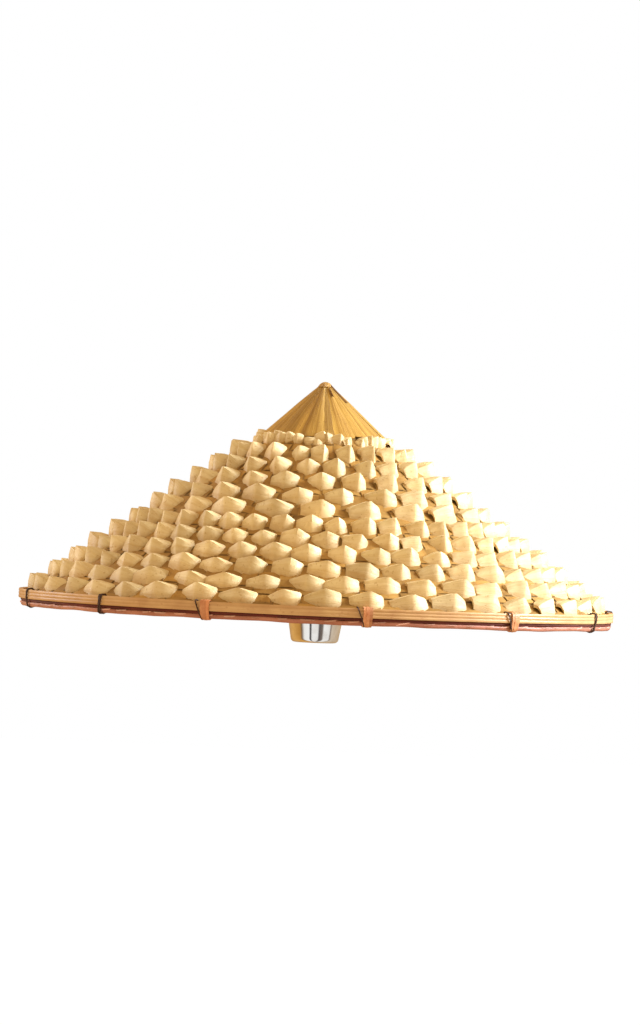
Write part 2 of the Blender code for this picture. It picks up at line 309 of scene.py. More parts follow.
class Desk:
    """Lays out the nodes of one material, world or group."""

    def __init__(self, tree: Tree) -> None:
        """Take an empty node tree."""
        self.tree = tree

    def add(self, kind: str, *inputs: object, **settings: object) -> bpy.types.Node:
        """Add a node, set its properties and fill its first inputs.

        Args:
            kind: The node's type without the ShaderNode prefix.
            inputs: What fills its inputs, in order.
            settings: Values for its properties.

        Returns:
            The new node.
        """
        node = self.tree.nodes.new(f"ShaderNode{kind}")
        for key, value in settings.items():
            setattr(node, key, value)
        self.fill(node, dict(enumerate(inputs)))
        return node

    def fill(self, node: bpy.types.Node, inputs: dict[int | str, object]) -> None:
        """Fill a node's inputs.

        Args:
            node: The node.
            inputs: For each input, a socket to join, a value to set or None to leave it.
        """
        for place, value in inputs.items():
            if isinstance(value, Socket):
                self.tree.links.new(value, node.inputs[place])
            elif value is not None:
                node.inputs[place].default_value = value

    def maths(self, operation: str, *values: object, clamp: bool = False) -> Socket:
        """Work out a sum of sockets and numbers, kept between 0 and 1 if clamped."""
        return self.add("Math", *values, operation=operation, use_clamp=clamp).outputs[0]

    def times(self, first: object, second: object) -> Socket:
        """Multiply two sockets or numbers."""
        return self.maths("MULTIPLY", first, second)

    def plus(self, first: object, second: object, clamp: bool = False) -> Socket:
        """Add two sockets or numbers."""
        return self.maths("ADD", first, second, clamp=clamp)

    def stretched(self, vector: Socket, scale: Colour) -> Socket:
        """Scale a position along each of its axes."""
        return self.add("VectorMath", vector, scale, operation="MULTIPLY").outputs[0]

    def mixed(self, share: object, first: object, second: object, blend: str = "MIX") -> Socket:
        """Mix two colours.

        Args:
            share: Socket or number, 0 for the first colour and 1 for the second.
            first: Socket or colour.
            second: Socket or colour.
            blend: The Mix node's blend type.

        Returns:
            The mixed colour's socket.
        """
        node = self.add("Mix", share, data_type="RGBA", blend_type=blend)
        for place, colour in ((6, first), (7, second)):
            self.fill(node, {place: (*colour, 1) if isinstance(colour, tuple) else colour})
        return node.outputs[2]

    def ramp(self, source: Socket, low: float, high: float) -> Socket:
        """Stretch a value so that low becomes 0 and high becomes 1."""
        return self.add("MapRange", source, low, high, clamp=True).outputs[0]

    def spread(self, source: Socket, ends: tuple[float, float]) -> Socket:
        """Stretch a value from 0 to 1 over a range."""
        return self.add("MapRange", source, None, None, *ends).outputs[0]

    def noise(
        self, vector: Socket, scale: float, detail: float = 2.0, roughness: float = 0.5, grain: object = None
    ) -> Socket:
        """Add a noise pattern.

        Args:
            vector: Where it is read.
            scale: How fine it is.
            detail: How many finer layers it has.
            roughness: How strong the finer layers are.
            grain: Socket that shifts it, if any.

        Returns:
            The pattern's value.
        """
        node = self.add("TexNoise", noise_dimensions="3D" if grain is None else "4D")
        inputs = {"Vector": vector, "W": grain, "Scale": scale, "Detail": detail, "Roughness": roughness}
        self.fill(node, inputs)
        return node.outputs[0]

    def relief(self, shader: bpy.types.Node, height: Socket, strength: float, distance: float) -> None:
        """Raise a shader's surface by a pattern.

        Args:
            shader: The shader.
            height: The pattern.
            strength: Its strength.
            distance: Height of its full value, in metres.
        """
        bump = self.add("Bump")
        self.fill(bump, {"Strength": strength, "Distance": distance, "Height": height})
        self.fill(shader, {"Normal": bump.outputs[0]})


class Effect:
    """A shader node group that several finishes share."""

    def __init__(self, name: str, takes: dict[str, str], gives: dict[str, str]) -> None:
        """Start the group.

        Args:
            name: The group's name.
            takes: For each input, its kind.
            gives: For each output, its kind.
        """
        self.tree = bpy.data.node_groups.new(name, "ShaderNodeTree")
        for way, sockets in (("INPUT", takes), ("OUTPUT", gives)):
            for label, kind in sockets.items():
                self.tree.interface.new_socket(label, in_out=way, socket_type=f"NodeSocket{kind}")
        self.desk = Desk(self.tree)
        self.inputs = self.tree.nodes.new("NodeGroupInput").outputs
        self.end = self.tree.nodes.new("NodeGroupOutput")

    def give(self, *results: Socket) -> Tree:
        """Join the group's outputs, in order, and return the group."""
        self.desk.fill(self.end, dict(enumerate(results)))
        return self.tree


def unrolled() -> Tree:
    """Unroll positions round the shade's axis.

    Returns:
        A group that gives the place round, then from, the axis or the other way about.
    """
    rim_radius = 0.24
    effect = Effect("Unrolled round the axis", {"Position": "Vector"}, {"Round": "Vector", "Slope": "Vector"})
    desk = effect.desk
    x, y, z = desk.add("SeparateXYZ", effect.inputs[0]).outputs
    around = desk.times(desk.maths("ARCTAN2", y, x), rim_radius)
    radius = desk.maths("SQRT", desk.plus(desk.times(x, x), desk.times(y, y)))
    along = desk.add("CombineXYZ", around, radius, z).outputs[0]
    return effect.give(along, desk.add("CombineXYZ", radius, around, z).outputs[0])


def painted_crease_shade() -> Tree:
    """Paint shade into the crease at a splint's foot and along its left edge.

    Returns:
        A group that gives the painted shade's strength from the piece's own UV.
    """
    effect = Effect("Painted crease shade", {"UV": "Vector", "Grain": "Float"}, {"Painted shade": "Float"})
    desk = effect.desk
    across, up, _ = desk.add("SeparateXYZ", effect.inputs[0]).outputs
    uneven = desk.maths("SUBTRACT", desk.noise(effect.inputs[0], 6, grain=effect.inputs[1]), 0.5)
    rough = desk.times(uneven, 0.3)
    foot = desk.ramp(desk.plus(up, rough), 0.30, -0.02)
    left = desk.ramp(desk.plus(across, rough), 0.16, -0.02)
    return effect.give(desk.maths("MAXIMUM", foot, left))


def bamboo_fibre() -> Tree:
    """Lay fibres along the first axis of a position in metres.

    Returns:
        A group that gives fine fibres, broad streaks and blotches.
    """
    effect = Effect(
        "Bamboo fibre",
        {"Position": "Vector", "Grain": "Float"},
        {"Fibre": "Float", "Streak": "Float", "Blotch": "Float"},
    )
    desk = effect.desk
    sizes = (((14, 1500, 1500), 3.0, 0.6), ((5, 260, 260), 3.0, 0.55), ((55, 75, 75), 2.0, 0.5))
    layers = []
    for index, (scale, detail, roughness) in enumerate(sizes):
        place = desk.stretched(effect.inputs[0], scale)
        grain = desk.plus(effect.inputs[1], 7.3 * index)
        layers.append(desk.ramp(desk.noise(place, 1.0, detail, roughness, grain), 0.3, 0.7))
    return effect.give(*layers)


def age_flecks() -> Tree:
    """Speckle a surface with the small dark flecks of age.

    Returns:
        A group that gives the flecks by their strength.
    """
    effect = Effect("Age flecks", {"Position": "Vector", "Strength": "Float"}, {"Flecks": "Float"})
    desk = effect.desk
    spots = desk.ramp(desk.noise(effect.inputs[0], 420), 0.62, 0.72)
    return effect.give(desk.times(spots, effect.inputs[1]))


UNROLLED = unrolled()
PAINTED_CREASE_SHADE = painted_crease_shade()
BAMBOO_FIBRE = bamboo_fibre()
AGE_FLECKS = age_flecks()


@dataclass(frozen=True)
class Finish:
    """A material's name, and the one material made from it."""

    name: str

    def material(self) -> bpy.types.Material:
        """Find the finish's material, or make it at its first use.

        Returns:
            The material.
        """
        made = bpy.data.materials.get(self.name)
        if not made:
            made = bpy.data.materials.new(self.name)
            made.use_nodes = True
            made.node_tree.nodes.clear()
            desk = Desk(made.node_tree)
            shader = desk.add("BsdfPrincipled")
            desk.add("OutputMaterial", shader.outputs[0])
            self.lay_out(desk, shader)
        return made

    def lay_out(self, desk: Desk, shader: bpy.types.Node) -> None:
        """Join the finish's pattern to the shader.

        Args:
            desk: The material's desk.
            shader: The material's shader.
        """
        raise NotImplementedError


@dataclass(frozen=True)
class SplintFinish(Finish):
    """Split bamboo, cane or dried leaf, with fibres, streaks and age marks."""

    pale: Colour
    deep: Colour
    stain: Colour
    flow: Flow
    stretch: tuple[float, float] = (0.030, 0.014)  # a UV square's size, in metres
    tone_range: float = 0.35
    roughness: tuple[float, float] = (0.42, 0.62)
    gloss: float = 0.25
    bump: float = 0.00012
    flecks: float = 0.5
    streak: float = 0.7
    # strength of the painted shade in the crease at a splint's foot and left edge
    crease_shade: float = 0.0

    def position(self, desk: Desk) -> Socket:
        """Place the fibres.

        Args:
            desk: The material's desk.

        Returns:
            A position whose first axis runs along the fibres, in metres.
        """
        source = desk.add("TexCoord").outputs
        if self.flow is Flow.SPLINT:
            return desk.stretched(source["UV"], (*self.stretch, 1))
        polar = desk.add("Group", node_tree=UNROLLED)
        desk.fill(polar, {0: source["Object"]})
        return polar.outputs["Round" if self.flow is Flow.ROUND else "Slope"]

    def colour(self, desk: Desk, fibre: bpy.types.Node, grain: Socket) -> Socket:
        """Colour the fibres, then stain and fleck them, and paint shade into their creases.

        Args:
            desk: The material's desk.
            fibre: The fibre group's node.
            grain: The piece's own run of grain.

        Returns:
            The colour.
        """
        source = desk.add("TexCoord").outputs
        streaks = desk.times(fibre.outputs["Streak"], self.streak)
        depth = desk.plus(streaks, desk.times(fibre.outputs["Fibre"], 0.25), clamp=True)
        colour = desk.mixed(depth, self.pale, self.deep)
        colour = desk.mixed(desk.times(fibre.outputs["Blotch"], 0.35), colour, self.stain, "MULTIPLY")
        flecks = desk.add("Group", node_tree=AGE_FLECKS)
        desk.fill(flecks, {0: source["Object"], 1: self.flecks})
        colour = desk.mixed(flecks.outputs[0], colour, self.stain)
        # Painted shade: the splint's foot and left edge darken towards the stain colour.
        if self.crease_shade:
            crease = desk.add("Group", node_tree=PAINTED_CREASE_SHADE)
            desk.fill(crease, {0: source["UV"], 1: grain})
            colour = desk.mixed(desk.times(crease.outputs[0], self.crease_shade), colour, self.stain)
        return colour

    def lay_out(self, desk: Desk, shader: bpy.types.Node) -> None:
        """Join fibres, streaks, blotches and age marks to the shader.

        Args:
            desk: The material's desk.
            shader: The material's shader.
        """
        grain = desk.add("Attribute", attribute_name="grain").outputs["Fac"]
        tone = desk.add("Attribute", attribute_name="tone").outputs["Fac"]
        fibre = desk.add("Group", node_tree=BAMBOO_FIBRE)
        desk.fill(fibre, {0: self.position(desk), 1: grain})
        darker = desk.times(desk.maths("SUBTRACT", 1.0, tone), self.tone_range)
        lit = desk.add("VectorMath", self.colour(desk, fibre, grain), operation="SCALE")
        desk.fill(lit, {"Scale": desk.maths("SUBTRACT", 1.0, darker)})
        desk.fill(shader, {
            "Base Color": lit.outputs[0],
            "Roughness": desk.spread(fibre.outputs["Fibre"], self.roughness),
            "Specular IOR Level": self.gloss,
        })
        height = desk.plus(fibre.outputs["Fibre"], desk.times(fibre.outputs["Streak"], 1.5))
        desk.relief(shader, height, 0.7, self.bump)


@dataclass(frozen=True)
class MetalFinish(Finish):
    """Metal with fine wipe marks and small scratches."""

    colour: Colour
    tarnish: Colour
    roughness: tuple[float, float]
    brushing: float = 0.0

    def lay_out(self, desk: Desk, shader: bpy.types.Node) -> None:
        """Join the wipe marks to the colour, gloss and relief.

        Args:
            desk: The material's desk.
            shader: The material's shader.
        """
        source = desk.add("TexCoord").outputs["Object"]
        polar = desk.add("Group", node_tree=UNROLLED)
        desk.fill(polar, {0: source})
        wipes = desk.noise(desk.stretched(polar.outputs["Round"], (40, 900, 900)), 1.0, 4)
        mark = desk.ramp(desk.noise(source, 110, 3), 0.45, 0.75)
        wear = desk.plus(desk.times(wipes, 0.6), desk.times(mark, 0.4))
        desk.fill(shader, {
            "Metallic": 1.0,
            "Base Color": desk.mixed(desk.times(mark, 0.6), self.colour, self.tarnish),
            "Roughness": desk.spread(wear, self.roughness),
        })
        desk.relief(shader, wipes, 0.25 + self.brushing, 0.00001)


# Curled splint, with painted shade at each curl's foot and left edge.
CURLED_SPLINT = SplintFinish(
    "Curled splint", (0.91, 0.76, 0.48), (0.73, 0.53, 0.24), (0.46, 0.25, 0.08), Flow.SPLINT,
    stretch=(0.034, 0.022), tone_range=0.24, roughness=(0.38, 0.56), bump=0.0002, crease_shade=0.5,
)
# Darker than the curled splint: partly the weave's own colour, partly painted shade of the gaps between the
# curls.
SHADED_WOVEN_SPLINT = SplintFinish(
    "Woven splint with painted shade", (0.57, 0.32, 0.085), (0.38, 0.19, 0.04), (0.20, 0.085, 0.02), Flow.SPLINT,
    stretch=(0.016, 0.009), tone_range=0.45,
)
SHELL_SPLINT = SplintFinish(
    "Inner splint", (0.50, 0.30, 0.12), (0.38, 0.21, 0.08), (0.30, 0.16, 0.07), Flow.ROUND,
)
GOLD_LEAF = SplintFinish(
    "Gold leaf", (0.80, 0.48, 0.10), (0.40, 0.19, 0.02), (0.26, 0.11, 0.02), Flow.SPLINT,
    stretch=(0.055, 0.016), tone_range=0.45, roughness=(0.34, 0.55), bump=0.00035, streak=0.95, gloss=0.5,
)
GOLD_KNOB = SplintFinish(
    "Gold knob", (0.70, 0.42, 0.14), (0.46, 0.24, 0.05), (0.30, 0.14, 0.04), Flow.SLOPE,
    tone_range=0.4, flecks=0.1, roughness=(0.34, 0.55), bump=0.00025,
)
# Dark strips near the tip: darker leaf edges, partly painted shade in the folds.
DARK_LEAF_AND_FOLD_SHADE = SplintFinish(
    "Dark leaf and fold shade", (0.30, 0.14, 0.04), (0.18, 0.08, 0.02), (0.12, 0.05, 0.02), Flow.SLOPE,
)
DRY_LEAF = SplintFinish(
    "Dry leaf", (0.62, 0.48, 0.28), (0.48, 0.34, 0.16), (0.36, 0.24, 0.11), Flow.SPLINT,
    stretch=(0.23, 0.06), tone_range=0.4, roughness=(0.5, 0.7), bump=0.0002,
)
BAMBOO_BAND = SplintFinish(
    "Bamboo band", (0.72, 0.47, 0.24), (0.54, 0.30, 0.12), (0.44, 0.20, 0.09), Flow.ROUND,
    roughness=(0.30, 0.48), bump=0.00015, streak=0.85,
)
FRAME_SPLINT = SplintFinish(
    "Frame splint", (0.64, 0.43, 0.20), (0.48, 0.29, 0.12), (0.40, 0.22, 0.09), Flow.SLOPE,
)
HOOP_SPLINT = SplintFinish(
    "Hoop splint", (0.64, 0.43, 0.20), (0.48, 0.29, 0.12), (0.40, 0.22, 0.09), Flow.ROUND,
)
RED_CANE = SplintFinish(
    "Red cane", (0.60, 0.27, 0.18), (0.42, 0.14, 0.09), (0.24, 0.05, 0.035), Flow.ROUND,
    roughness=(0.32, 0.5),
)
CANE_WRAP = SplintFinish(
    "Cane wrap", (0.84, 0.42, 0.22), (0.66, 0.25, 0.10), (0.42, 0.12, 0.05), Flow.SLOPE,
    roughness=(0.3, 0.5),
)
DARK_THREAD = SplintFinish(
    "Dark thread", (0.13, 0.055, 0.03), (0.05, 0.022, 0.014), (0.03, 0.012, 0.01), Flow.SLOPE,
    roughness=(0.5, 0.75), bump=0.0003,
)
MAROON_THREAD = SplintFinish(
    "Maroon thread", (0.20, 0.035, 0.02), (0.11, 0.018, 0.012), (0.06, 0.012, 0.01), Flow.ROUND,
    roughness=(0.5, 0.75), bump=0.0003,
)
PINK_THREAD = SplintFinish(
    "Pink thread", (0.86, 0.52, 0.42), (0.66, 0.31, 0.22), (0.34, 0.10, 0.07), Flow.ROUND,
    roughness=(0.5, 0.75), bump=0.0003,
)
CHROME = MetalFinish("Polished metal", (0.86, 0.85, 0.83), (0.62, 0.58, 0.52), (0.04, 0.14))
STEEL = MetalFinish("Zinc steel", (0.62, 0.62, 0.61), (0.42, 0.41, 0.39), (0.24, 0.42), brushing=0.3)
BRASS = MetalFinish("Brass", (0.80, 0.58, 0.26), (0.50, 0.33, 0.14), (0.18, 0.36), brushing=0.2)

# ---------------------------------------------------------------- studio


@dataclass(frozen=True)
class Lamp:
    """A soft square light that looks at the shade."""

    name: str
    angle: float  # degrees from the camera's side, towards the right
    height: float  # degrees above level
    distance: float
    size: float
    power: float
    colour: Colour

    def hang(self, aim: Vector) -> None:
        """Hang the light.

        Args:
            aim: Where it looks.
        """
        data = bpy.data.lights.new(self.name, "AREA")
        data.shape = "SQUARE"
        data.size = self.size
        data.energy = self.power
        data.color = self.colour
        light = bpy.data.objects.new(self.name, data)
        bpy.context.collection.objects.link(light)
        angle, height = math.radians(self.angle), math.radians(self.height)
        level = math.cos(height)
        away = Vector((math.sin(angle) * level, -math.cos(angle) * level, math.sin(height)))
        light.location = aim + away * self.distance
        light.rotation_euler = away.to_track_quat("Z", "Y").to_euler()


LAMPS = (
    Lamp("Key", angle=92, height=24, distance=3.2, size=1.1, power=325.0, colour=(0.80, 0.91, 1.0)),
    Lamp("Window", angle=-118, height=16, distance=3.0, size=1.5, power=42.0, colour=(0.95, 0.97, 1.0)),
)
FILL = (1.0, 0.78, 0.48)
FILL_STRENGTH = 1.02
WHITE = (1, 1, 1)
# What polished metal reflects: the place from the left of the back round by the
# front, as a share of a turn, and the colour there.
REFLECTIONS: tuple[tuple[float, Colour], ...] = (
    (0.0, (0.50, 0.30, 0.14)), (0.16, (0.78, 0.42, 0.12)), (0.29, (0.66, 0.32, 0.07)),
    (0.325, (0.20, 0.12, 0.07)), (0.36, (0.95, 0.93, 0.90)), (0.425, (1.0, 1.0, 1.0)),
    (0.435, (0.10, 0.09, 0.09)), (0.452, (0.10, 0.09, 0.09)), (0.462, (0.95, 0.94, 0.93)),
    (0.54, (0.95, 0.94, 0.93)), (0.555, (0.12, 0.10, 0.10)), (0.60, (0.22, 0.18, 0.15)),
    (0.62, (0.98, 0.97, 0.95)), (0.70, (0.9, 0.88, 0.85)), (0.715, (0.25, 0.2, 0.16)),
    (0.74, (0.72, 0.60, 0.47)), (1.0, (0.55, 0.36, 0.18)),
)


@dataclass
class Studio:
    """Camera, lights, world and floor."""

    distance: float = 5.4
    elevation: float = math.radians(0.4)
    roll: float = math.radians(-2.5)
    lens: float = 235.0
    aim: Vector = Vector((0, 0, 0.105)).freeze()
    floor_depth: float = 1.37
    floor_radius: float = 30.0

    def camera(self) -> None:
        """Set up the camera at the front, a little above the rim."""
        data = bpy.data.cameras.new("Camera")
        data.lens = self.lens
        data.clip_end = 100
        camera = bpy.data.objects.new("Camera", data)
        bpy.context.collection.objects.link(camera)
        back = Vector((0, -math.cos(self.elevation), math.sin(self.elevation)))
        place = Matrix.Translation(self.aim + back * self.distance)
        turn = (-back).to_track_quat("-Z", "Y").to_matrix().to_4x4()
        camera.matrix_world = place @ turn @ Matrix.Rotation(-self.roll, 4, "Z")
        bpy.context.scene.camera = camera

    def world(self) -> None:
        """Surround the shade with warm light, white where the camera sees it."""
        world = bpy.data.worlds.new("Studio")
        bpy.context.scene.world = world
        world.use_nodes = True
        world.node_tree.nodes.clear()
        desk = Desk(world.node_tree)
        path = desk.add("LightPath").outputs
        fill = desk.add("Background", (*FILL, 1), FILL_STRENGTH).outputs[0]
        seen = desk.add("Background", (*WHITE, 1)).outputs[0]
        gloss = desk.add("Background", self.reflected(desk)).outputs[0]
        unseen = desk.add("MixShader", path["Is Glossy Ray"], fill, gloss).outputs[0]
        both = desk.add("MixShader", path["Is Camera Ray"], unseen, seen).outputs[0]
        desk.add("OutputWorld", both)

    @staticmethod
    def reflected(desk: Desk) -> Socket:
        """Paint the soft boxes and dark gaps that polished metal reflects.

        Args:
            desk: The world's desk.

        Returns:
            The colour by direction.
        """
        x, y, _ = desk.add("SeparateXYZ", desk.add("TexCoord").outputs["Generated"]).outputs
        turn = desk.maths("ARCTAN2", x, desk.times(y, -1.0))
        bands = desk.add("ValToRGB", desk.plus(desk.maths("DIVIDE", turn, math.tau), 0.5))
        elements = bands.color_ramp.elements
        while len(elements) < len(REFLECTIONS):
            elements.new(0.5)
        for element, (place, colour) in zip(elements, REFLECTIONS):
            element.position = place
            element.color = (*colour, 1)
        return bands.outputs[0]

    def floor(self) -> None:
        """Lay a wide pale floor under the shade."""
        clear_selection()
        place = (0, 0, -self.floor_depth)
        bpy.ops.mesh.primitive_circle_add(
            vertices=96, radius=self.floor_radius, fill_type="NGON", location=place
        )
        floor = bpy.context.object
        floor.name = "Floor"
        paper = bpy.data.materials.new("Floor paper")
        paper.use_nodes = True
        paper.node_tree.nodes.clear()
        desk = Desk(paper.node_tree)
        glow = desk.add("Emission", None, 0.93).outputs[0]
        matt = desk.add("BsdfDiffuse", (0.16, 0.16, 0.16, 1)).outputs[0]
        desk.add("OutputMaterial", desk.add("AddShader", glow, matt).outputs[0])
        floor.data.materials.append(paper)
        floor.visible_diffuse = False
        floor.visible_glossy = False

    def build(self) -> None:
        """Set up the whole studio."""
        self.camera()
        self.world()
        self.floor()
        for lamp in LAMPS:
            lamp.hang(self.aim)
        bpy.context.scene.view_settings.view_transform = "Standard"
        LOG.info("studio ready")


# ---------------------------------------------------------------- the cone


@dataclass(frozen=True)
class Cone:
    """The face of the woven cone, read from the rows that stand on it."""

    peak: float
    fall: float

    @classmethod
    def measured(cls) -> "Cone":
        """Find the cone through the feet of the first and the last row.

        Returns:
            The cone.
        """
        top, foot = (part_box(f"curl_row_{number:02d}") for number in (1, 11))
        fall = (top[0].z - foot[0].z) / (foot[1].x - top[1].x)
        return cls(top[0].z + fall * top[1].x, fall)

    def height(self, radius: float, depth: float = 0.0) -> float:
        """Height of the face at a radius, or of a layer below it."""
        return self.peak - self.fall * radius - depth

    def spot(self, radius: float, depth: float) -> Spot:
        """Corner of an outline on the face or on a layer below it."""
        return radius, self.height(radius, depth)

    def shift(self, radius: float) -> Matrix:
        """Move from the origin to the face at the front."""
        return Matrix.Translation((0, -radius, self.height(radius)))


# Each column of a curl, from its left wing to its right wing: the share of the
# pitch from the ridge, then how far in from the foot and how high above it each
# point lies, from the foot of the curl up and over to its back. Millimetres.
CURL_COLUMNS: tuple[tuple[float, tuple[tuple[float, float], ...]], ...] = (
    (-0.55, ((5.2, 3.6), (6.4, 6.0), (8.0, 8.4), (10.2, 9.5), (12.4, 9.5))),
    (-0.42, ((3.8, 2.6), (4.9, 6.4), (6.8, 10.4), (10.8, 10.9), (14.0, 10.4))),
    (-0.20, ((1.6, 1.0), (2.4, 7.1), (4.0, 12.8), (10.0, 12.6), (15.6, 11.5))),
    (-0.075, ((0.3, 0.2), (0.6, 7.7), (1.9, 14.0), (9.0, 13.7), (16.6, 12.1))),
    (0.01, ((0.2, 0.2), (0.4, 7.7), (1.7, 14.2), (9.0, 13.8), (16.6, 12.1))),
    (0.16, ((1.2, 0.8), (2.3, 6.7), (4.0, 12.0), (9.8, 12.6), (16.0, 11.6))),
    (0.325, ((3.4, 2.3), (4.9, 5.9), (7.1, 9.2), (11.2, 10.9), (14.6, 10.7))),
    (0.375, ((6.2, 4.2), (7.9, 6.0), (9.8, 7.4), (11.7, 8.8), (13.4, 9.6))),
)

@dataclass
class CurlRows:
    """The rows of curled splints that stand on the cone."""

    cone: Cone
    rows: int = 11
    upper_rows: int = 5
    upper_count: int = 22
    lower_count: int = 42
    pitch: float = 0.027  # pitch that the pattern curl is made for
    edge: float = 0.0024  # how deep a splint's edge goes into the weave
    upper_size: float = 1.04
    upper_width: float = 0.86  # share of the pitch
    stretch: float = 1.07
    settle: float = 0.0025  # how far down the slope the feet stand from the rows' rings, level
    ruffle_count: int = 56
    upper_phases: tuple[float, float] = (math.radians(0.3), math.radians(-8.0))
    lower_phases: tuple[float, float] = (math.radians(2.2), math.radians(6.3))
    seed: int = 41

    def pattern(self) -> Piece:
        """Model one curl at the front, with its foot at the origin.

        Returns:
            The curl.
        """
        rows = len(CURL_COLUMNS[0][1])
        places = [
            Vector((share * self.pitch, column[row][0] / 1000, column[row][1] / 1000))
            for row in range(rows)
            for share, column in CURL_COLUMNS
        ]
        curl = grid("curl_pattern", len(CURL_COLUMNS) - 1, rows - 1, places)
        with editing(curl) as mesh:
            for edge in mesh.edges:
                if edge.is_boundary:
                    edge.select_set(True)
            bpy.ops.mesh.extrude_edges_move(TRANSFORM_OT_translate={"value": (0, 0, -self.edge)})
        return curl

    @staticmethod
    def stood(pattern: Piece, placed: Matrix, chance: random.Random) -> Piece:
        """Stand one curl in its place, in its own tone.

        Args:
            pattern: The curl to copy.
            placed: Its place.
            chance: Source of its tone.

        Returns:
            The curl.
        """
        curl = copied(pattern, placed)
        mark_tone(curl, chance.betavariate(3, 2), chance.uniform(0, GRAIN_SHIFTS))
        return curl

    def row(self, number: int, pattern: Piece, chance: random.Random) -> None:
        """Stand one row's curls on the cone.

        Args:
            number: The row, 1 at the top.
            pattern: The curl to copy.
            chance: Source of the small differences between curls.
        """
        node = f"curl_row_{number:02d}"
        low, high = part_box(node)
        upper = number <= self.upper_rows
        count = self.upper_count if upper else self.lower_count
        step = math.tau / count
        phase = (self.upper_phases if upper else self.lower_phases)[(number + 1) % 2]
        size = self.upper_size if upper else 1.0
        wide = step * (high.x - 0.006) / self.pitch * (self.upper_width if upper else 1.0)
        foot = low.z - self.settle * self.cone.fall
        curls = []
        for place in range(count):
            angle = FRONT + phase + (place + chance.uniform(-0.03, 0.03)) * step
            out = high.x + self.settle - chance.uniform(-0.0004, 0.0008)
            lean = leant(chance, 4.5, 6)
            scale = Matrix.Diagonal((
                wide * chance.uniform(0.86, 1.04),
                size * chance.uniform(0.90, 1.04),
                size * self.stretch * chance.uniform(0.86, 1.06),
                1,
            ))
            placed = turned_to(angle) @ Matrix.Translation((0, -out, foot)) @ lean @ scale
            curls.append(self.stood(pattern, placed, chance))
        dressed(joined(f"curls_{number:02d}", curls), CURLED_EDGES, CURLED_SPLINT, "curled_splint", node)

    def ruffle(self, pattern: Piece) -> None:
        """Stand short splint ends round the cap's edge.

        Args:
            pattern: The curl to copy.
        """
        chance = random.Random(self.seed + 1)
        ends = []
        for place in range(self.ruffle_count):
            angle = FRONT + (place + chance.uniform(-0.3, 0.3)) * math.tau / self.ruffle_count
            shift = self.cone.shift(chance.uniform(0.0535, 0.0590))
            lean = leant(chance, 12, 14)
            sizes = (chance.uniform(0.32, 0.52), chance.uniform(0.50, 0.64), chance.uniform(0.42, 0.74))
            placed = turned_to(angle) @ shift @ lean @ Matrix.Diagonal((*sizes, 1))
            ends.append(self.stood(pattern, placed, chance))
        dressed(joined("cap_ruffle", ends), CURLED_EDGES, CURLED_SPLINT, "curled_splint")

    def build(self) -> None:
        """Make all rows."""
        chance = random.Random(self.seed)
        pattern = self.pattern()
        for number in range(1, self.rows + 1):
            self.row(number, pattern, chance)
        self.ruffle(pattern)
        scrap(pattern)


@dataclass
class BaseWeave:
    """The woven cone that shows between the curls, and its collar."""

    cone: Cone
    inner_radius: float = 0.052
    outer_radius: float = 0.2335
    rings: int = 24
    tier_radius: float = 0.1405
    upper_count: int = 44
    lower_count: int = 84
    eye: float = 0.0065
    wall: float = 0.0030
    thickness: float = 0.0022
    crown: float = 0.0008
    sink: float = 0.0006
    seed: int = 7

    def tile(self, name: str, width: float, length: float, across: bool) -> Piece:
        """Model one bowed splint end at the front, on the slope.

        Args:
            name: Name of the tile.
            width: Size round the shade.
            length: Size up the slope, measured level.
            across: Whether it bows round the shade, not up the slope.

        Returns:
            The tile, centred on the origin.
        """
        shares = (-0.5, -0.2, 0.2, 0.5)
        bow = (-self.sink, self.crown, self.crown, -self.sink)
        wide = shares if across else (-0.5, 0.5)
        long = (-0.5, 0.5) if across else shares
        places = []
        for row, up in enumerate(long):
            for column, side in enumerate(wide):
                lift = bow[column] if across else bow[row]
                places.append(Vector((side * width, up * length, up * length * self.cone.fall + lift)))
        return grid(name, len(wide) - 1, len(long) - 1, places)

    def ring(self, number: int, pitch: float, chance: random.Random) -> list[Piece]:
        """Weave one ring of crossings.

        Args:
            number: The ring, 0 innermost.
            pitch: The level distance between rings.
            chance: Source of tone.

        Returns:
            The tiles of the ring.
        """
        radius = self.inner_radius + number * pitch
        count = self.upper_count if radius < self.tier_radius else self.lower_count
        round_pitch = math.tau * radius / count
        upright = self.tile("upright", round_pitch * 0.84, pitch * 1.35, False)
        turn_grain(upright)
        hoop = self.tile("hoop", round_pitch * 1.25, pitch * 0.90, True)
        tiles = []
        for place in range(count):
            angle = FRONT + (place + 0.5) * math.tau / count
            kind = upright if (place + number) % 2 else hoop
            tile = copied(kind, turned_to(angle) @ self.cone.shift(radius))
            mark_tone(tile, chance.betavariate(2.5, 2), chance.uniform(0, GRAIN_SHIFTS))
            tiles.append(tile)
        scrap(upright, hoop)
        return tiles

    def build(self) -> None:
        """Make the woven face on its shell."""
        low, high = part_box("base_weave")
        chance = random.Random(self.seed)
        pitch = (self.outer_radius - self.inner_radius) / (self.rings - 1)
        tiles: list[Piece] = []
        for number in range(self.rings):
            tiles += self.ring(number, pitch, chance)
        dressed(joined("woven_face", tiles), ROUNDED_EDGES, SHADED_WOVEN_SPLINT, "woven_splint")
        rim = high.x
        outline = [
            self.cone.spot(self.eye, self.thickness),
            self.cone.spot(rim - self.wall, self.thickness),
            (rim - self.wall, low.z),
            (rim - 0.0006, low.z),
            (rim, low.z + 0.0006),
            self.cone.spot(rim, 0.0008),
            self.cone.spot(rim - 0.0012, 0.0002),
            self.cone.spot(self.eye, 0.0002),
        ]
        dressed(turned("woven_shell", outline, 168), TURNED_EDGES, SHELL_SPLINT, "woven_splint", "base_weave")


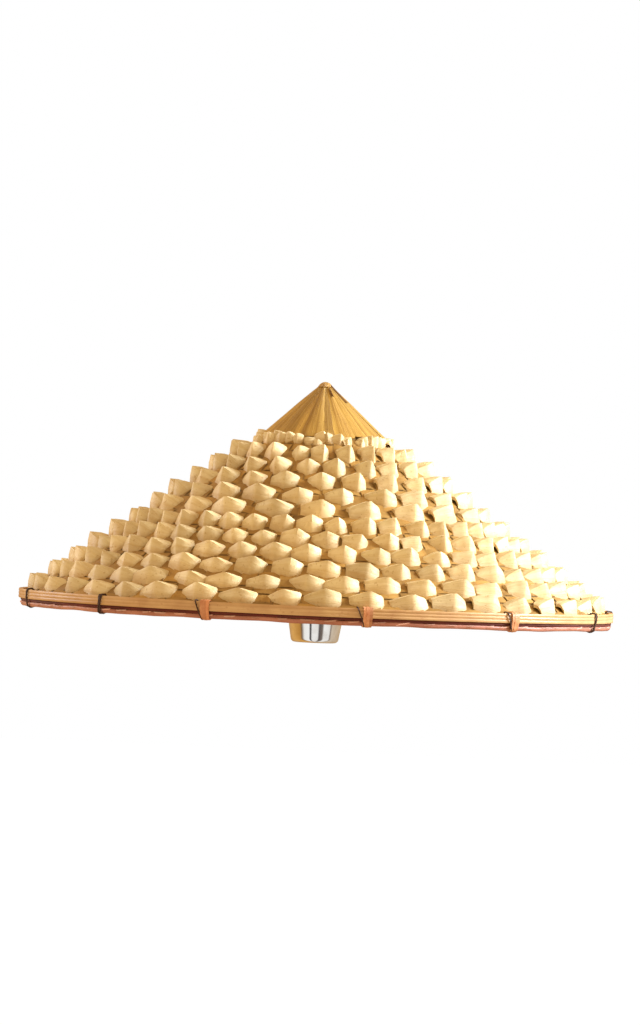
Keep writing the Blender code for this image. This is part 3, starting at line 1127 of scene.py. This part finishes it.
@dataclass
class TipCap:
    """The cap of gathered leaf strips over the top."""

    cone: Cone
    strips: int = 22
    half_angle: float = math.radians(11.0)
    crown: float = 0.0012
    ruffle: float = 0.0026  # how far a strip's lower end curls out
    reach: float = 0.86  # share of the cap's radius that the leaves cover
    thickness: float = 0.0006
    # Dark strips, partly darker leaf edges and partly painted shade in the folds: degrees to the right of the
    # front, start and length down the slope, width.
    creases: tuple[tuple[float, float, float, float], ...] = (
        (60.0, 0.0015, 0.0190, 0.0034),
        (25.0, 0.0050, 0.0085, 0.0017),
        (-132.0, 0.0030, 0.0120, 0.0016),
        (150.0, 0.0060, 0.0090, 0.0015),
    )
    seed: int = 12

    def sheet(self, name: str, foot: Spot, top: Spot, half: float) -> Piece:
        """Model one pleated leaf strip at the front.

        Args:
            name: Name of the strip.
            foot: Its lower end.
            top: Its upper end.
            half: Half the angle that it covers round the axis.

        Returns:
            The strip.
        """
        places = []
        shares = (0.0, 0.08, 0.35, 0.62, 0.82, 0.93, 1.0)
        for share in shares:
            radius = foot[0] + (top[0] - foot[0]) * share
            height = foot[1] + (top[1] - foot[1]) * share
            width = radius * math.tan(half)
            for side in (-1.0, -0.6, -0.2, 0.2, 0.6, 1.0):
                curl = self.ruffle * (1 - side * side) if share == 0 else 0
                bend = self.crown * (1 - abs(side) ** 1.6) * min(1.0, radius / 0.02)
                rise = bend - 0.0006 * abs(side) - curl * 0.8
                places.append(Vector((side * width, -radius - curl, height + rise)))
        strip = grid(name, 5, len(shares) - 1, places)
        thicken(strip, self.thickness)
        turn_grain(strip)
        return strip

    def leaves(self, foot: Spot, top: Spot) -> None:
        """Lay the strips side by side round the axis.

        Args:
            foot: Their lower ends.
            top: Their upper ends.
        """
        chance = random.Random(self.seed)
        strip = self.sheet("leaf_strip", foot, top, self.half_angle)
        strips = []
        pivot = Matrix.Translation((0, 0, top[1]))
        for place in range(self.strips):
            angle = FRONT + (place + 0.35) * math.tau / self.strips + chance.gauss(0, 0.012)
            rise = 0.0006 * (place % 2) - 0.0003 + chance.uniform(-0.0003, 0.0003)
            tilt = Matrix.Rotation(chance.gauss(0, math.radians(2.0)), 4, "Z")
            long = chance.uniform(0.93, 1.05)
            size = Matrix.Diagonal((chance.uniform(0.94, 1.14), long, long, 1))
            lift = Matrix.Translation((0, 0, rise))
            leaf = copied(strip, turned_to(angle) @ lift @ tilt @ pivot @ size @ pivot.inverted())
            mark_tone(leaf, chance.betavariate(1.6, 1.6), chance.uniform(0, GRAIN_SHIFTS))
            strips.append(leaf)
        scrap(strip)
        dressed(joined("cap_leaves", strips), PLEATED_EDGES, GOLD_LEAF, "gold_leaf", "tip_cap")

    def dark_edges_and_fold_shade(self, foot: Spot, top: Spot) -> None:
        """Lay dark strips that start near the tip: darker folded leaf edges, and painted shade in the folds.

        Args:
            foot: The leaves' lower ends.
            top: Their upper ends.
        """
        slope = Vector((foot[0] - top[0], foot[1] - top[1])).normalized()
        face = Vector((top[0] + 0.0008, top[1] + 0.0009))
        folds = []
        for degrees, begin, length, width in self.creases:
            start = face + slope * begin
            end = start + slope * length
            fold = self.sheet("fold", tuple(end), tuple(start), math.atan(width / 2 / end.x))
            mark_tone(fold, 0.6, degrees)
            fold.matrix_world = turned_to(FRONT + math.radians(degrees))
            folds.append(fold)
        dressed(joined("cap_dark_edges_and_fold_shade", folds), PLEATED_EDGES, DARK_LEAF_AND_FOLD_SHADE, "gold_leaf")

    def build(self) -> None:
        """Lay the leaves on a core and close them with a rounded tip."""
        _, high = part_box("tip_cap")
        rim = (high.x, self.cone.height(high.x) + 0.0010)
        top = (0.0030, high.z - 0.0021)
        foot = tuple(tip + (edge - tip) * self.reach for edge, tip in zip(rim, top))
        self.leaves(foot, top)
        self.dark_edges_and_fold_shade(foot, top)
        core_radius = foot[0] - 0.004
        core = turned("cap_core", [
            (0.0, high.z - 0.0050), (core_radius - 0.006, foot[1] + 0.0006), (core_radius, foot[1] - 0.0006),
            (0.0060, high.z - 0.0062), (0.0, high.z - 0.0034),
        ], 48)
        dressed(core, ROUNDED_EDGES, SHADED_WOVEN_SPLINT, "gold_leaf")
        drops = (
            (0.0, 0.0032), (0.0050, 0.0046), (0.0060, 0.0040), (0.0046, 0.0020), (0.0030, 0.0008),
            (0.0014, 0.0002), (0.0, 0.0),
        )
        knob = turned("cap_knob", [(radius, high.z - drop) for radius, drop in drops], 36)
        mark_tone(knob, 0.75, 3.0)
        dressed(knob, ROUNDED_EDGES, GOLD_KNOB, "gold_leaf")


@dataclass
class Rim:
    """The bands, the lower cane, the lashing and the ties round the rim."""

    sides: int = 168
    stitches: int = 78
    stitch_length: float = 0.011
    thread: float = 0.00055
    cane_ties: tuple[int, ...] = (1, 3, 6, 9, 10, 11)
    seed: int = 23

    def band(self, name: str, wall: float, strips: int) -> None:
        """Turn a band of thin bamboo strips laid one above another.

        Args:
            name: Name of the new piece, and of its CAD node after "rim_".
            wall: Its thickness, negative if the strips' rounded faces look in.
            strips: How many strips.
        """
        node = f"rim_{name}"
        low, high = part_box(node)
        face, back = (high.x, high.x - wall) if wall > 0 else (high.x + wall, high.x)
        outward = math.copysign(1, wall)
        tall = (high.z - low.z) / strips
        outline = []
        for strip in range(strips):
            base = low.z + strip * tall
            for up, inset in ((0.04, 0.0004), (0.20, 0.0001), (0.5, 0.0), (0.80, 0.0001), (0.96, 0.0004)):
                outline.append((face - outward * inset, base + up * tall))
        outline += [(back, high.z - 0.0004), (back, low.z + 0.0004)]
        ring = turned(name, outline, self.sides)
        mark_tone(ring, 0.85, 1.0)
        dressed(ring, PLEATED_EDGES, BAMBOO_BAND, "bamboo_band", node)

    def lower_cane(self) -> None:
        """Bend the round cane under the band, not quite true."""
        low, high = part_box("rim_lower_cane")
        size = (high.z - low.z) / 2
        cane = turned("lower_cane", oval((high.x - size, (high.z + low.z) / 2), size, size, 10), self.sides)
        chance = random.Random(self.seed)
        waves = [
            (count, chance.uniform(0, math.tau), chance.uniform(0.0001, 0.00022))
            for count in (9, 17, 26, 41)
        ]
        for point in cane.data.vertices:
            turn = math.atan2(point.co.y, point.co.x)
            point.co.z += sum(swing * math.sin(count * turn + start) for count, start, swing in waves)
        mark_tone(cane, 0.8, 2.0)
        dressed(cane, ROUNDED_EDGES, RED_CANE, "red_cane", "rim_lower_cane")

    def lashing(self) -> None:
        """Run the lashing thread between the band and the lower cane."""
        band_low, band_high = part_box("rim_outer_band")
        _, cane_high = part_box("rim_lower_cane")
        middle = (band_high.x - 0.0028, (band_low.z + cane_high.z) / 2)
        core = turned("lashing_core", oval(middle, 0.0011, 0.0013, 6), self.sides)
        mark_tone(core, 0.8, 2.0)
        dressed(core, ROUNDED_EDGES, MAROON_THREAD, "dark_thread")

    def stitch(self, place: Vector) -> Piece:
        """Model one stitch at the front, with its ends tucked in.

        Args:
            place: Its middle.

        Returns:
            The stitch.
        """
        clear_selection()
        bpy.ops.mesh.primitive_cylinder_add(
            vertices=6, radius=self.thread, depth=self.stitch_length, location=place
        )
        stitch = bpy.context.object
        bpy.ops.transform.rotate(value=math.radians(90), orient_axis="Y", center_override=place)
        bpy.ops.object.transform_apply(location=True, rotation=True, scale=True)
        with editing(stitch, everything=True):
            bpy.ops.mesh.bisect(plane_co=(0, 0, 0), plane_no=(1, 0, 0))
        for point in stitch.data.vertices:
            if abs(point.co.x) > 0.004:
                point.co.y += 0.0011
        return stitch

    def stitching(self) -> None:
        """Sew stitches along the lower cane's top edge."""
        _, cane_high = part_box("rim_lower_cane")
        place = Vector((0, -cane_high.x - 0.0002, cane_high.z - 0.0013))
        about = Matrix.Translation(place)
        stitch = self.stitch(place)
        chance = random.Random(self.seed + 1)
        stitches = []
        for number in range(self.stitches):
            angle = number * math.tau / self.stitches + chance.uniform(-0.02, 0.02)
            slant = Matrix.Rotation(math.radians(-4) + chance.gauss(0, math.radians(3)), 4, "Y")
            long = Matrix.Diagonal((chance.uniform(0.7, 1.15), 1, chance.uniform(0.8, 1.3), 1))
            copy = copied(stitch, turned_to(angle) @ about @ slant @ long @ about.inverted())
            mark_tone(copy, chance.random(), chance.uniform(0, GRAIN_SHIFTS))
            stitches.append(copy)
        scrap(stitch)
        dressed(joined("lashing_stitches", stitches), ROUNDED_EDGES, PINK_THREAD, "dark_thread")

    @staticmethod
    def loop(angle: float, width: float, skew: float, shift: float, thickness: float = 0.0008) -> Piece:
        """Wrap one ribbon round the rim.

        Args:
            angle: Direction from +X.
            width: Width of the ribbon.
            skew: How far it slants over its height.
            shift: How far it lies to the right of the tie's middle.
            thickness: Thickness of the ribbon.

        Returns:
            The ribbon.
        """
        outer_low, outer_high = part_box("rim_outer_band")
        inner_low, inner_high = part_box("rim_inner_band")
        cane_low, cane_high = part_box("rim_lower_cane")
        out = outer_high.x + 0.0003
        into = outer_high.x - 0.0108
        path = (
            (into, inner_high.z - 0.001), (into + 0.0018, inner_high.z + 0.0014),
            (out - 0.0036, outer_high.z + 0.0006), (out - 0.0006, outer_high.z + 0.0003),
            (out + 0.0002, outer_high.z - 0.0016), (out + 0.0002, outer_low.z + 0.0014),
            (out - 0.0006, outer_low.z - 0.0008), (out - 0.0010, cane_high.z - 0.0014),
            (out - 0.0016, cane_low.z + 0.0007), (out - 0.0038, cane_low.z - 0.0003),
            (out - 0.0064, cane_low.z + 0.0006), (into, inner_low.z + 0.0010),
        )
        middle = (outer_high.z + cane_low.z) / 2
        tall = outer_high.z - cane_low.z
        ribbon = outlined("ribbon", [
            Vector((shift - width / 2 + skew * (height - middle) / tall, -radius, height))
            for radius, height in path
        ])
        with editing(ribbon, everything=True):
            for share in (0.22, 0.56, 0.22):
                bpy.ops.mesh.extrude_edges_move(TRANSFORM_OT_translate={"value": (width * share, 0, 0)})
            bpy.ops.mesh.select_all(action="SELECT")
            bpy.ops.mesh.normals_make_consistent(inside=False)
        thicken(ribbon, thickness, 1)
        ribbon.matrix_world = turned_to(angle)
        return ribbon

    def tie(self, number: int, chance: random.Random) -> None:
        """Make one tie where the CAD has it.

        Args:
            number: The tie.
            chance: Source of slant and tone.
        """
        node = f"rim_tie_{number:02d}"
        low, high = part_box(node)
        angle = math.atan2((low.y + high.y) / 2, (low.x + high.x) / 2)
        cane = number in self.cane_ties
        parts = []
        if cane:
            for shift, thickness in ((-0.0024, 0.0007), (0.0, 0.0009), (0.0024, 0.0007)):
                skew = chance.uniform(-0.0006, 0.0006)
                parts.append(self.loop(angle, 0.0025, skew, shift, thickness))
        else:
            for shift, skew in ((-0.0007, 0.0030), (0.0007, 0.0036), (0.0002, -0.0012)):
                parts.append(self.loop(angle, 0.0009, skew + chance.uniform(-0.0005, 0.0005), shift))
        for part in parts:
            mark_tone(part, chance.random(), chance.uniform(0, GRAIN_SHIFTS))
        finish, slot = (CANE_WRAP, "red_cane") if cane else (DARK_THREAD, "dark_thread")
        dressed(joined(f"tie_{number:02d}", parts), ROUNDED_EDGES, finish, slot, node)
        if cane:
            strand = joined(f"tie_{number:02d}_strand", [self.loop(angle, 0.0009, -0.0055, -0.0052)])
            mark_tone(strand, 0.5, number)
            dressed(strand, ROUNDED_EDGES, DARK_THREAD, "dark_thread")

    def build(self) -> None:
        """Make the whole rim."""
        self.band("outer_band", 0.0034, 3)
        self.band("inner_band", -0.0032, 2)
        self.lower_cane()
        self.lashing()
        self.stitching()
        chance = random.Random(self.seed + 2)
        for number in range(1, 13):
            self.tie(number, chance)


@dataclass
class InnerFrame:
    """The leaf lining, and the CAD ribs, hoops and arms with their finishes."""

    cone: Cone
    leaves: int = 26
    outer_radius: float = 0.228
    inner_radius: float = 0.007
    depth: float = 0.0031
    seed: int = 5

    def leaf(self) -> Piece:
        """Model one dried leaf at the front, from the rim to the top.

        Returns:
            The leaf.
        """
        shares = (0.0, 0.2, 0.4, 0.6, 0.8, 1.0)
        places = []
        for share in shares:
            radius = self.outer_radius * (1 - share) + self.inner_radius * share
            half = radius * math.tan(math.pi / self.leaves * 1.35)
            for side in (-1.0, 0.0, 1.0):
                sag = 0.0006 * (1 - abs(side))
                reach = math.hypot(side * half, radius)
                places.append(Vector((side * half, -radius, self.cone.height(reach, self.depth + sag))))
        leaf = grid("lining_leaf", 2, len(shares) - 1, places)
        thicken(leaf, 0.0005)
        turn_grain(leaf)
        return leaf

    def lining(self) -> None:
        """Lay the dried leaves under the weave."""
        chance = random.Random(self.seed)
        leaf = self.leaf()
        leaves = []
        for place in range(self.leaves):
            angle = (place + chance.uniform(-0.2, 0.2)) * math.tau / self.leaves
            copy = copied(leaf, turned_to(angle) @ Matrix.Translation((0, 0, -0.0004 * (place % 2))))
            mark_tone(copy, chance.random(), chance.uniform(0, GRAIN_SHIFTS))
            leaves.append(copy)
        scrap(leaf)
        dressed(joined("lining_leaves", leaves), PLEATED_EDGES, DRY_LEAF, "dry_leaf", "leaf_lining")

    def build(self) -> None:
        """Make the lining, and give the frame's CAD nodes their finishes."""
        self.lining()
        kept = {f"rib_{number:02d}": FRAME_SPLINT for number in range(1, 13)}
        kept |= {f"hoop_{number}": HOOP_SPLINT for number in range(1, 5)}
        kept |= {f"arm_{number}": STEEL for number in range(1, 4)}
        kept |= {f"arm_tack_{number}": BRASS for number in range(1, 4)}
        for node, finish in kept.items():
            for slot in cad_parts[node].material_slots:
                slot.material = finish.material()


@dataclass(frozen=True)
class MetalPart:
    """A faceted metal node at the middle, and what a smooth copy of it gets."""

    node: str
    body: str
    finish: Finish
    slot: str

    def build(self) -> None:
        """Stand a smooth-faced copy in for the node."""
        twin = bpy.data.objects.new(f"{self.node}_smooth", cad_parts[self.node].data.copy())
        bpy.context.collection.objects.link(twin)
        take(twin)
        bpy.ops.mesh.customdata_custom_splitnormals_clear()
        with editing(twin, everything=True):
            bpy.ops.mesh.remove_doubles(threshold=0.00001)
        dressed(twin, METAL_EDGES, self.finish, self.slot, self.node, body=self.body)


METAL_PARTS = (
    MetalPart("carrier_cup", CARRIER, CHROME, "polished_metal"),
    MetalPart("hub_ring", SHADE, STEEL, "zinc_steel"),
    MetalPart("retaining_ring", "shade_ring", CHROME, "polished_metal"),
    MetalPart("slip_washer", "turn_washer", BRASS, "brass"),
    MetalPart("stem_washer", CARRIER, STEEL, "zinc_steel"),
    MetalPart("stem_nut", CARRIER, BRASS, "brass"),
)


def main() -> None:
    """Build the studio and every piece of the shade."""
    logging.basicConfig(level=logging.INFO, format="%(name)s: %(message)s")
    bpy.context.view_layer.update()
    Studio().build()
    cone = Cone.measured()
    BaseWeave(cone).build()
    CurlRows(cone).build()
    TipCap(cone).build()
    Rim().build()
    InnerFrame(cone).build()
    for part in METAL_PARTS:
        part.build()


if __name__ == "__main__":
    main()
